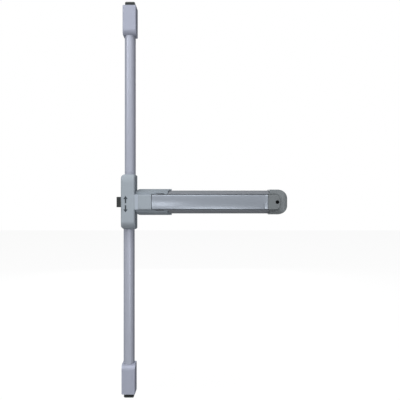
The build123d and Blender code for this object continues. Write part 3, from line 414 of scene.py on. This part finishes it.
# Two plain arrows on the case's front, one up and one down for the two rods, stamped into the
# casting and filled with dark grey enamel that stands a hair above the paint.
mark_front = 0.052
mark_middle = -0.0055
mark_head_half = 0.0055
mark_stem_half = 0.0019
mark_proud = 0.00012
mark_depth = 0.0004
mark_heights = ((-0.0030, 0.0078, 0.0160), (-0.0080, -0.0188, -0.0266))
mark_enamel = coated(
    "dark_grey_enamel",
    (0.05, 0.06, 0.07),
    metallic=0.0,
    roughness=0.45,
    specular=0.3,
    mottle=0.2,
    grain=0.05,
)
marks = bmesh.new()
for foot_z, neck_z, tip_z in mark_heights:
    outline = [
        (-mark_stem_half, foot_z),
        (-mark_stem_half, neck_z),
        (-mark_head_half, neck_z),
        (0, tip_z),
        (mark_head_half, neck_z),
        (mark_stem_half, neck_z),
        (mark_stem_half, foot_z),
    ]
    front = [marks.verts.new((mark_middle + x, -mark_front - mark_proud, z)) for x, z in outline]
    back = [marks.verts.new((mark_middle + x, -mark_front + mark_depth, z)) for x, z in outline]
    marks.faces.new(front)
    marks.faces.new(reversed(back))
    for index in range(len(outline)):
        other = (index + 1) % len(outline)
        marks.faces.new((front[index], back[index], back[other], front[other]))
bmesh.ops.recalc_face_normals(marks, faces=marks.faces)
mark_mesh = bpy.data.meshes.new("direction_arrows")
marks.to_mesh(mark_mesh)
marks.free()
mark_mesh.materials.append(mark_enamel)
arrows = bpy.data.objects.new("direction_arrows", mark_mesh)
bpy.context.collection.objects.link(arrows)
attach(arrows, "body")

# Collar: a zinc die casting in the same paint. It sits like a saddle on the rail's near end,
# close beside the head case.
collar_edge = 0.0008
eased_casting("rail_collar", collar_edge, silver_paint, wear_and_sheen_paint)

# Latch covers: die-cast boxes in the same paint, one at each end of the rods. A screw through its
# end holds each of them to the nylon guide inside.
box_paint = coated(
    "box_silver_paint",
    (0.37, 0.39, 0.475),
    metallic=0.12,
    roughness=0.42,
    flake=0.06,
    grain=0.05,
    wave=0.03,
)
box_edge = 0.0007
for side in ("upper", "lower"):
    eased_casting(side + "_latch_cover", box_edge, box_paint, wear_and_sheen_paint)


# Push pad: an aluminium channel with a slightly crowned front, drawn in long fine lines and
# then anodised silver. Its edges are round and its walls hang down into the rail's mouth.
def rounded(corners, steps=6):
    """A closed outline whose corners, given as across, out and radius, are rounded."""
    nearly_straight = math.radians(89.5)
    outline = []
    for index, (u, v, radius) in enumerate(corners):
        here = Vector((u, v))
        before = (Vector(corners[index - 1][:2]) - here).normalized()
        after = (Vector(corners[(index + 1) % len(corners)][:2]) - here).normalized()
        half = before.angle(after) / 2
        if radius == 0 or half > nearly_straight:
            outline.append(here)
            continue
        centre = here + (before + after).normalized() * radius / math.sin(half)
        first = here + before * radius / math.tan(half) - centre
        last = here + after * radius / math.tan(half) - centre
        turn = first.angle_signed(last)
        for step in range(steps + 1):
            angle = -turn * step / steps
            across = first.x * math.cos(angle) - first.y * math.sin(angle)
            out = first.x * math.sin(angle) + first.y * math.cos(angle)
            outline.append(centre + Vector((across, out)))
    return outline


def drawn_bar(name, outline, stations, place, look):
    """A bar with one section all along: place(u, v, station) puts each point of each station."""
    form = bmesh.new()
    rings = []
    for station in stations:
        rings.append([form.verts.new(place(point.x, point.y, station)) for point in outline])
    count = len(outline)
    for ring, following in zip(rings, rings[1:]):
        for index in range(count):
            other = (index + 1) % count
            form.faces.new((ring[index], ring[other], following[other], following[index]))
    form.faces.new(rings[0])
    form.faces.new(rings[-1])
    bmesh.ops.recalc_face_normals(form, faces=form.faces)
    mesh = bpy.data.meshes.new(name)
    form.to_mesh(mesh)
    form.free()
    mesh.materials.append(look)
    smoothed(mesh)
    piece = bpy.data.objects.new(name, mesh)
    bpy.context.collection.objects.link(piece)
    return piece


pad_low, pad_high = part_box("push_pad")
pad_half = pad_high.z
pad_front = -pad_low.y
pad_back = -pad_high.y
pad_wall = 0.002
pad_crown = 0.0012
pad_round = 0.0025
pad_inner_round = 0.0006
pad_foot = 0.001  # the strip beside the channel's open side, which the dip leaves straight
near_end_round = 0.0004
crown_steps = 10
pad_corners = [(-pad_half, pad_back, 0), (-pad_half, pad_front - pad_crown, pad_round)]
for step in range(1, crown_steps):
    across = pad_half * (2 * step / crown_steps - 1)
    pad_corners.append((across, pad_front - pad_crown * (across / pad_half) ** 2, 0))
pad_corners += [
    (pad_half, pad_front - pad_crown, pad_round),
    (pad_half, pad_back, 0),
    (pad_half - pad_wall, pad_back, 0),
    (pad_half - pad_wall, pad_front - pad_crown - pad_wall, pad_inner_round),
    (-pad_half + pad_wall, pad_front - pad_crown - pad_wall, pad_inner_round),
    (-pad_half + pad_wall, pad_back, 0),
]
# A shallow dip is pressed across the pad's far end: distance back from the end, and depth.
pad_end_dip = (
    (0.0135, 0),
    (0.012, 0.0002),
    (0.009, 0.0008),
    (0.0078, 0.0009),
    (0.0066, 0.00078),
    (0.003, 0.00034),
    (0.0012, 0.00012),
    (0.0004, 0.00015),
    (0, 0.0004),
)
pad_stations = [(pad_low.x, near_end_round), (pad_low.x + near_end_round, 0)]
pad_stations += [(pad_high.x - back, sink) for back, sink in pad_end_dip]


def on_the_pad(across, out, station):
    """The pad's section stands across the bar, and a station says how deep its front sinks."""
    along, sink = station
    drop = sink if out > pad_back + pad_foot else 0
    return Vector((along, -(out - drop), across))


pad_aluminium = coated(
    "pad_aluminium",
    (0.272, 0.299, 0.341),
    metallic=0.3,
    roughness=0.24,
    mottle=0.03,
    grain=0.008,
    grain_size=300.0,
    stretch=(0.03, 1, 1),
)
pad_finish = drawn_bar(
    "push_pad_finish", rounded(pad_corners), pad_stations, on_the_pad, pad_aluminium
)
finished(pad_finish, "push_pad")

# Rail: an aluminium extrusion, a trough with leaning flanks and two inward lips round its mouth.
# A steel tongue reaches into each end and ties it to the head case and to the bar's end bracket.
rail_low, rail_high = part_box("rail")
rail_base = rail_high.z
rail_depth = -rail_low.y
rail_shoulder = 0.009
rail_lean = 0.0235
rail_mouth = 0.0205
rail_wall = 0.0022
lip_round = 0.0005
brow_round = 0.0012
shoulder_round = 0.0015
foot_round = 0.0003
lean_share = 0.85  # of the wall: how far in from the brow a flank's inner face ends
lean_inset = rail_wall * lean_share
rail_outer = [
    (-rail_mouth, rail_depth, lip_round),
    (-rail_lean, rail_depth, brow_round),
    (-rail_base, rail_shoulder, shoulder_round),
    (-rail_base, 0, foot_round),
    (rail_base, 0, foot_round),
    (rail_base, rail_shoulder, shoulder_round),
    (rail_lean, rail_depth, brow_round),
    (rail_mouth, rail_depth, lip_round),
]
rail_inner = [
    (rail_mouth, rail_depth - rail_wall, 0),
    (rail_lean - lean_inset, rail_depth - rail_wall, 0),
    (rail_base - rail_wall, rail_shoulder, 0),
    (rail_base - rail_wall, rail_wall, 0),
    (-rail_base + rail_wall, rail_wall, 0),
    (-rail_base + rail_wall, rail_shoulder, 0),
    (-rail_lean + lean_inset, rail_depth - rail_wall, 0),
    (-rail_mouth, rail_depth - rail_wall, 0),
]


def along_the_rail(across, out, station):
    """The rail's section stands across the bar."""
    return Vector((station, -out, across))


rail_aluminium = coated(
    "rail_aluminium",
    (0.27, 0.285, 0.31),
    metallic=0.15,
    roughness=0.42,
    mottle=0.03,
    grain=0.02,
    grain_size=300.0,
    stretch=(0.03, 1, 1),
)
rail_section = rounded(rail_outer + rail_inner, steps=4)
rail_ends = (rail_low.x, rail_high.x)
rail_finish = drawn_bar("rail_finish", rail_section, rail_ends, along_the_rail, rail_aluminium)
finished(rail_finish, "rail")

# Rod covers: thin aluminium channels with a round front, open towards the door, that hide the
# two rods from the head case to the latch boxes.
cover_wall = 0.0016
cover_shoulder = 0.011
cover_edge = 0.0002
cover_aluminium = coated(
    "cover_aluminium",
    (0.37, 0.39, 0.46),
    metallic=0.2,
    roughness=0.32,
    mottle=0.03,
    grain=0.02,
    grain_size=300.0,
    stretch=(1, 1, 0.03),
)
for side in ("upper", "lower"):
    cover_low, cover_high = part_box(side + "_rod_cover")
    middle = (cover_low.x + cover_high.x) / 2
    half = (cover_high.x - cover_low.x) / 2
    depth = -cover_low.y
    section = [
        (-half, 0, cover_edge),
        (-half, depth, cover_shoulder),
        (half, depth, cover_shoulder),
        (half, 0, cover_edge),
        (half - cover_wall, 0, cover_edge),
        (half - cover_wall, depth - cover_wall, cover_shoulder - cover_wall),
        (-half + cover_wall, depth - cover_wall, cover_shoulder - cover_wall),
        (-half + cover_wall, 0, cover_edge),
    ]

    def along_the_rod(across, out, station, middle=middle):
        """The cover's section lies level, its middle over the rod."""
        return Vector((middle + across, -out, station))

    node = side + "_rod_cover"
    cover_ends = (cover_low.z, cover_high.z)
    outline = rounded(section, steps=10)
    cover = drawn_bar(node + "_finish", outline, cover_ends, along_the_rod, cover_aluminium)
    finished(cover, node)

# End cap: moulded in grey plastic with a fine grain, its raised middle falling away from the
# pad and a deep hole for its one screw.
cap_plastic = coated(
    "grey_plastic",
    (0.235, 0.256, 0.268),
    metallic=0.0,
    roughness=0.5,
    specular=0.15,
    mottle=0.05,
    grain=0.06,
    grain_size=1300.0,
)
# Lighter, glossier plastic for the cap's eased edges: rubbed wear, and also a painted highlight
# along the rim.
rubbed_and_sheen_plastic = coated(
    "rubbed_and_sheen_grey_plastic",
    (0.27, 0.29, 0.30),
    metallic=0.0,
    roughness=0.4,
    specular=0.25,
    mottle=0.1,
    grain=0.05,
    grain_size=1300.0,
)
cap_edge = 0.0006
eased_casting("end_cap", cap_edge, cap_plastic, rubbed_and_sheen_plastic)

# Bolts and side latch: steel with a black coat, rubbed bright along their edges where they slide
# in their guides.
black_steel = coated(
    "black_steel",
    (0.038, 0.042, 0.042),
    metallic=0.1,
    roughness=0.42,
    specular=0.2,
    mottle=0.25,
    grain=0.1,
    grain_size=500.0,
)
rubbed_steel = coated(
    "rubbed_black_steel",
    (0.09, 0.095, 0.095),
    metallic=0.3,
    roughness=0.35,
    specular=0.2,
    mottle=0.4,
    grain=0.1,
    grain_size=500.0,
)
bolt_edge = 0.0006
for node in ("upper_bolt", "lower_bolt", "latch_bolt"):
    eased_casting(node, bolt_edge, black_steel, rubbed_steel)

# Cover screws: turned steel with a low domed head and a hexagon socket. Two hold the head case's
# cover from the side, one holds each latch cover at its end, and one sits deep in the end cap.
screw_steel = coated(
    "zinc_plated_screw",
    (0.3, 0.31, 0.32),
    metallic=0.7,
    roughness=0.35,
    edge_tint=0.6,
    mottle=0.08,
    grain=0.05,
)
# The screw deep in the end cap is black steel made darker than the bolts, as painted shade for
# the deep hole it sits in.
shade_dark_screw = coated(
    "shade_dark_screw",
    (0.012, 0.013, 0.015),
    metallic=0.3,
    roughness=0.5,
    mottle=0.1,
    grain=0.05,
)
socket_share = 0.5  # of the head's radius
socket_depth_share = 0.6  # of the head's height
dome_rise_share = 0.35  # of the head's height
head_sides = 48
shank_sides = 32
socket_sides = 6
dome_segments = 96
dome_rings = 160
screw_sizes = ("Head radius", "Head height", "Shank radius", "Shank length")
screw_fields = [("Places", "Geometry")]
screw_fields += [(size, "Float") for size in screw_sizes]
screw_fields += [("Turn", "Vector"), ("Steel", "Material")]
screw_tree = bpy.data.node_groups.new("domed_screws", "GeometryNodeTree")
screw_inputs = {}
for label, kind in screw_fields:
    socket = screw_tree.interface.new_socket(
        label, in_out="INPUT", socket_type="NodeSocket" + kind
    )
    screw_inputs[label] = socket.identifier
screw_tree.interface.new_socket("Screws", in_out="OUTPUT", socket_type="NodeSocketGeometry")
given = screw_tree.nodes.new("NodeGroupInput")
result = screw_tree.nodes.new("NodeGroupOutput")


def worked(operation, first, second):
    """One sum in the screw's tree; each side is a number or another node's output."""
    sum_node = screw_tree.nodes.new("ShaderNodeMath")
    sum_node.operation = operation
    for slot, value in zip(sum_node.inputs, (first, second)):
        if isinstance(value, (int, float)):
            slot.default_value = value
        else:
            screw_tree.links.new(value, slot)
    return sum_node.outputs[0]


def turned_form(sides, radius, length, middle):
    """A rod of this many sides about the screw's axis, its middle this far up the axis."""
    rod = screw_tree.nodes.new("GeometryNodeMeshCylinder")
    rod.inputs["Vertices"].default_value = sides
    screw_tree.links.new(radius, rod.inputs["Radius"])
    screw_tree.links.new(length, rod.inputs["Depth"])
    return lifted(rod.outputs["Mesh"], middle)


def lifted(form, height):
    """Moves a form up the screw's axis."""
    up = screw_tree.nodes.new("ShaderNodeCombineXYZ")
    screw_tree.links.new(height, up.inputs["Z"])
    move = screw_tree.nodes.new("GeometryNodeTransform")
    screw_tree.links.new(form, move.inputs["Geometry"])
    screw_tree.links.new(up.outputs["Vector"], move.inputs["Translation"])
    return move.outputs["Geometry"]


def cut(operation, first, second):
    """Cuts the second closed form out of the first, or keeps what the two share."""
    knife = screw_tree.nodes.new("GeometryNodeMeshBoolean")
    knife.operation = operation
    knife.solver = "EXACT"
    if operation == "DIFFERENCE":
        screw_tree.links.new(first, knife.inputs["Mesh 1"])
        screw_tree.links.new(second, knife.inputs["Mesh 2"])
    else:
        screw_tree.links.new(first, knife.inputs["Mesh 2"])
        screw_tree.links.new(second, knife.inputs["Mesh 2"])
    return knife.outputs["Mesh"]


head_radius = given.outputs["Head radius"]
head_height = given.outputs["Head height"]
shank_length = given.outputs["Shank length"]
half_height = worked("MULTIPLY", head_height, 0.5)
head_block = turned_form(head_sides, head_radius, head_height, half_height)
# A dome that rises by r over a head of radius R is part of a ball of radius R * R / 2r + r / 2.
rise = worked("MULTIPLY", head_height, dome_rise_share)
radius_squared = worked("MULTIPLY", head_radius, head_radius)
wide_share = worked("DIVIDE", radius_squared, worked("MULTIPLY", rise, 2.0))
dome_radius = worked("ADD", wide_share, worked("MULTIPLY", rise, 0.5))
dome = screw_tree.nodes.new("GeometryNodeMeshUVSphere")
dome.inputs["Segments"].default_value = dome_segments
dome.inputs["Rings"].default_value = dome_rings
screw_tree.links.new(dome_radius, dome.inputs["Radius"])
dome_place = lifted(dome.outputs["Mesh"], worked("SUBTRACT", head_height, dome_radius))
socket_radius = worked("MULTIPLY", head_radius, socket_share)
socket_depth = worked("MULTIPLY", head_height, socket_depth_share * 2)
domed_head = cut("INTERSECT", head_block, dome_place)
socket_form = turned_form(socket_sides, socket_radius, socket_depth, head_height)
socketed_head = cut("DIFFERENCE", domed_head, socket_form)
shank_middle = worked("MULTIPLY", shank_length, -0.5)
shank = turned_form(shank_sides, given.outputs["Shank radius"], shank_length, shank_middle)
whole = screw_tree.nodes.new("GeometryNodeJoinGeometry")
screw_tree.links.new(socketed_head, whole.inputs[0])
screw_tree.links.new(shank, whole.inputs[0])
facing = screw_tree.nodes.new("FunctionNodeEulerToRotation")
screw_tree.links.new(given.outputs["Turn"], facing.inputs[0])
placed = screw_tree.nodes.new("GeometryNodeInstanceOnPoints")
screw_tree.links.new(given.outputs["Places"], placed.inputs["Points"])
screw_tree.links.new(whole.outputs[0], placed.inputs["Instance"])
screw_tree.links.new(facing.outputs[0], placed.inputs["Rotation"])
real = screw_tree.nodes.new("GeometryNodeRealizeInstances")
screw_tree.links.new(placed.outputs["Instances"], real.inputs[0])
dressed = screw_tree.nodes.new("GeometryNodeSetMaterial")
screw_tree.links.new(real.outputs[0], dressed.inputs["Geometry"])
screw_tree.links.new(given.outputs["Steel"], dressed.inputs["Material"])
screw_tree.links.new(dressed.outputs[0], result.inputs[0])

side_low, side_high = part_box("case_cover_screws")
cap_screw_low, cap_screw_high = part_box("end_cap_screw")
quarter = math.radians(90)
cap_screw_x = (cap_screw_low.x + cap_screw_high.x) / 2
side_head = 0.0015  # height, as the next two
cap_head = 0.003
end_head = 0.0016
side_head_radius = 0.0034
cap_head_radius = 0.0039
end_head_radius = 0.0029
side_shank_radius = 0.002
cap_shank_radius = 0.0025
end_shank_radius = 0.0016
side_screw_y = -0.008
side_screw_z = 0.044
side_seat = side_low.x + side_head
cap_shank = cap_screw_high.y - cap_screw_low.y - cap_head
screw_rows = [
    (
        "case_cover_screws",
        [(side_seat, side_screw_y, side_screw_z), (side_seat, side_screw_y, -side_screw_z)],
        (0, -quarter, 0),
        (side_head_radius, side_head, side_shank_radius, side_high.x - side_seat),
        screw_steel,
    ),
    (
        "end_cap_screw",
        [(cap_screw_x, cap_screw_low.y + cap_head, 0)],
        (quarter, 0, 0),
        (cap_head_radius, cap_head, cap_shank_radius, cap_shank),
        shade_dark_screw,
    ),
]
for side, outward in (("upper", 1), ("lower", -1)):
    end_low, end_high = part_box(side + "_cover_screw")
    end_x = (end_low.x + end_high.x) / 2
    end_y = (end_low.y + end_high.y) / 2
    end_z = end_high.z if outward > 0 else end_low.z
    end_shank = end_high.z - end_low.z - end_head
    screw_rows.append(
        (
            side + "_cover_screw",
            [(end_x, end_y, end_z - outward * end_head)],
            (0 if outward > 0 else 2 * quarter, 0, 0),
            (end_head_radius, end_head, end_shank_radius, end_shank),
            screw_steel,
        )
    )
for node, places, turn, sizes, steel in screw_rows:
    spots = bpy.data.meshes.new(node + "_places")
    spots.from_pydata(places, [], [])
    screws = bpy.data.objects.new(node + "_finish", spots)
    bpy.context.collection.objects.link(screws)
    fitting = screws.modifiers.new("screws", "NODES")
    fitting.node_group = screw_tree
    for label, value in zip(screw_sizes, sizes):
        fitting[screw_inputs[label]] = value
    fitting[screw_inputs["Turn"]] = turn
    fitting[screw_inputs["Steel"]] = steel
    screws.data = plain_copy(screws)
    smoothed(screws.data)
    finished(screws, node)

# Base plates, brackets, latch guide and lock nuts: pressed and milled steel. Their cut edges are
# broken a little, and their zinc plating is cloudy.
zinc = coated(
    "zinc_plated_steel",
    (0.34, 0.35, 0.36),
    metallic=0.5,
    roughness=0.42,
    edge_tint=0.6,
    mottle=0.14,
    grain=0.05,
    grain_size=300.0,
)
for node, edge in (
    ("case_base_plate", 0.0004),
    ("end_bracket", 0.0004),
    ("latch_guide", 0.0002),
    ("upper_latch_base", 0.0004),
    ("lower_latch_base", 0.0004),
    ("left_bracket", 0.0003),
    ("right_bracket", 0.0003),
    ("upper_lock_nut", 0.0003),
    ("lower_lock_nut", 0.0003),
):
    eased_casting(node, edge, zinc, steps=2)

# Rockers and pad lugs are plain zinc castings, and the bushes, stops, plugs and bolt guides are
# moulded nylon. All of them have the small round edges of a mould.
plain_casting = coated(
    "plain_zinc_casting",
    (0.27, 0.28, 0.3),
    metallic=0.45,
    roughness=0.5,
    edge_tint=0.6,
    mottle=0.1,
    grain=0.2,
    grain_size=600.0,
)
nylon = coated(
    "natural_nylon",
    (0.68, 0.66, 0.6),
    metallic=0.0,
    roughness=0.5,
    specular=0.3,
    mottle=0.03,
    grain=0.08,
    grain_size=500.0,
)
mould_edge = 0.0003
for node in ("left_rocker", "right_rocker", "left_pad_lug", "right_pad_lug"):
    eased_casting(node, mould_edge, plain_casting, steps=2)
for node in (
    "upper_rod_bush",
    "lower_rod_bush",
    "upper_bolt_guide",
    "lower_bolt_guide",
    "pad_stops",
    "pad_end_plugs",
):
    eased_casting(node, mould_edge, nylon, steps=2)

# Springs: plain sleeves in the place of close-wound steel wire, hidden inside the lock. Two push
# the pad out and one pushes the side latch out.
spring_wire = coated(
    "spring_wire",
    (0.2, 0.2, 0.21),
    metallic=0.6,
    roughness=0.38,
    edge_tint=0.6,
    mottle=0.1,
    grain=0.3,
)
pad_travel = 0.012
latch_travel = 0.014
for node, joint, axis, travel in (
    ("pad_springs", "pad_press", (0, 1, 0), pad_travel),
    ("latch_spring", "latch_slide", (1, 0, 0), latch_travel),
):
    spring = bpy.data.objects.new(node + "_finish", nodes[node].data.copy())
    bpy.context.collection.objects.link(spring)
    spring.data.materials.clear()
    spring.data.materials.append(spring_wire)
    finished(spring, node)
    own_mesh(spring)

# What is left keeps its own shape: rods, racks, pins, the pull bar, the pinion, its axle and its
# clip. Each gets the look of its material, and so do the hidden nodes.
looks = {
    "silver_paint": silver_paint,
    "silver_anodised": rail_aluminium,
    "grey_plastic": cap_plastic,
    "dark_steel": black_steel,
    "zinc_steel": zinc,
    "cast_zinc": plain_casting,
    "nylon": nylon,
    "spring_steel": spring_wire,
}
for part in frame["record"]["subparts"]:
    for place in nodes[part["node"]].material_slots:
        place.material = looks[part["material_slot"]]
